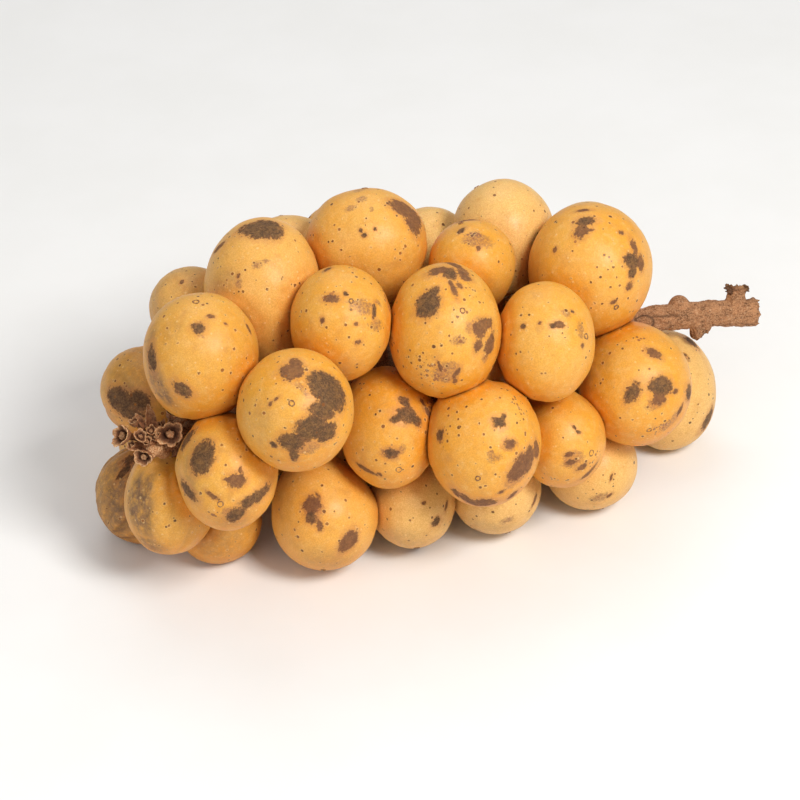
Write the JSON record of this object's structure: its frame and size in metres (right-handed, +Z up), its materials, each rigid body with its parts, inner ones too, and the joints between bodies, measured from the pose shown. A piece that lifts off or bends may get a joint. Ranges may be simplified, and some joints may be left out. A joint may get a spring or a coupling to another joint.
{
  "type": "longkong bunch",
  "caption": "Lying bunch of round tawny longkong fruit crowded on a woody stem, with a bare cut end and withered flowers at the tip.",
  "frame": {"origin": "on the table under the middle of the bunch's bounding box", "axes": "+X along the stem towards its cut end, +Z up, -Y towards the side that the picture shows"},
  "size_m": [0.2322, 0.1376, 0.1099],
  "materials": {
    "skin": "thin dull waxy fruit skin, yellow-tan with brown blotches and dots",
    "stem": "dry rough bark"
  },
  "bodies": {
    "root": {"fruit_01": "skin", "fruit_02": "skin", "fruit_03": "skin", "fruit_04": "skin", "fruit_05": "skin", "fruit_06": "skin", "fruit_07": "skin", "fruit_08": "skin", "fruit_09": "skin", "fruit_10": "skin", "fruit_11": "skin", "fruit_12": "skin", "fruit_13": "skin", "fruit_14": "skin", "fruit_15": "skin", "fruit_16": "skin", "fruit_17": "skin", "fruit_18": "skin", "fruit_19": "skin", "fruit_20": "skin", "fruit_21": "skin", "fruit_22": "skin", "fruit_23": "skin", "fruit_24": "skin", "fruit_25": "skin", "fruit_26": "skin", "fruit_27": "skin", "fruit_28": "skin", "fruit_29": "skin", "fruit_30": "skin", "fruit_31": "skin", "fruit_32": "skin", "fruit_33": "skin", "fruit_34": "skin", "fruit_35": "skin", "fruit_36": "skin", "fruit_37": "skin", "fruit_38": "skin", "fruit_39": "skin", "fruit_40": "skin", "fruit_41": "skin", "fruit_42": "skin", "fruit_43": "skin", "fruit_44": "skin", "fruit_45": "skin", "rachis": "stem"}
  },
  "joints": []
}
